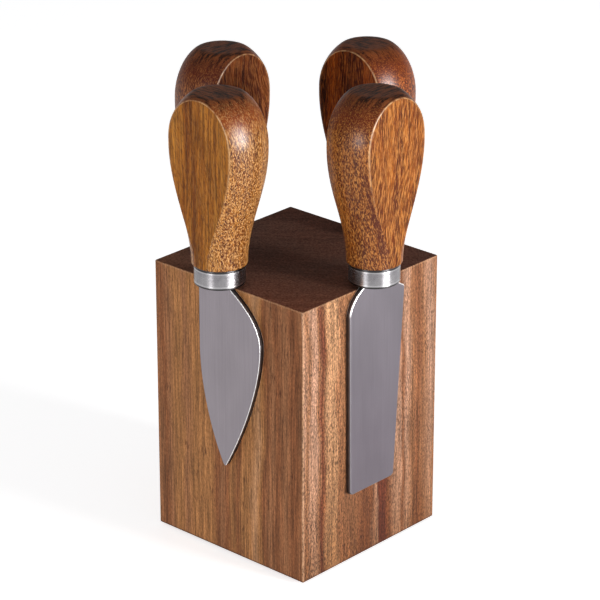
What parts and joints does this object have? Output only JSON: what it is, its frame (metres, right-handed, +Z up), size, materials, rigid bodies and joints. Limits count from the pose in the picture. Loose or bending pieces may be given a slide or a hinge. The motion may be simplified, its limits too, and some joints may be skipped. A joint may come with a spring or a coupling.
{
  "type": "magnetic cheese knife block",
  "caption": "Square upright wooden block with hidden magnets that holds cheese knives by their blades on its side faces, turned wooden handles standing above its top.",
  "frame": {"origin": "middle of the underside, on the surface the block stands on", "axes": "+Z up, -Y out of the front face (spade knife), +X out of the right face (chisel knife)"},
  "size_m": [0.0782, 0.0782, 0.1481],
  "materials": {
    "block_wood": "oiled, satin, dark end grain on top",
    "plug_wood": "sawn, unfinished",
    "pad_rubber": "fine matt foam rubber",
    "magnet_nickel": "bright nickel plate",
    "blade_steel": "satin stainless steel with a bright ground edge",
    "ferrule_steel": "brushed round its circumference",
    "handle_wood": "satin clear lacquer"
  },
  "bodies": {
    "block": {"block_body": "block_wood", "base_pad": "pad_rubber", "magnet_front_lower": "magnet_nickel", "magnet_front_upper": "magnet_nickel", "magnet_right_lower": "magnet_nickel", "magnet_right_upper": "magnet_nickel", "magnet_left_lower": "magnet_nickel", "magnet_left_upper": "magnet_nickel", "magnet_back_lower": "magnet_nickel", "magnet_back_upper": "magnet_nickel", "bore_plug_front": "plug_wood", "bore_plug_right": "plug_wood", "bore_plug_left": "plug_wood", "bore_plug_back": "plug_wood"},
    "spade_knife": {"spade_blade": "blade_steel", "spade_ferrule": "ferrule_steel", "spade_handle": "handle_wood"},
    "chisel_knife": {"chisel_blade": "blade_steel", "chisel_ferrule": "ferrule_steel", "chisel_handle": "handle_wood"},
    "cheese_fork": {"fork_blade": "blade_steel", "fork_ferrule": "ferrule_steel", "fork_handle": "handle_wood"},
    "pronged_knife": {"pronged_blade": "blade_steel", "pronged_ferrule": "ferrule_steel", "pronged_handle": "handle_wood"}
  },
  "joints": [
    {"name": "spade_pull", "type": "slide", "parent": "block", "child": "spade_knife", "axis": [0, -1, 0], "range_m": [0, 0.06]},
    {"name": "chisel_pull", "type": "slide", "parent": "block", "child": "chisel_knife", "axis": [1, 0, 0], "range_m": [0, 0.06]},
    {"name": "fork_pull", "type": "slide", "parent": "block", "child": "cheese_fork", "axis": [-1, 0, 0], "range_m": [0, 0.06]},
    {"name": "pronged_pull", "type": "slide", "parent": "block", "child": "pronged_knife", "axis": [0, 1, 0], "range_m": [0, 0.06]}
  ]
}
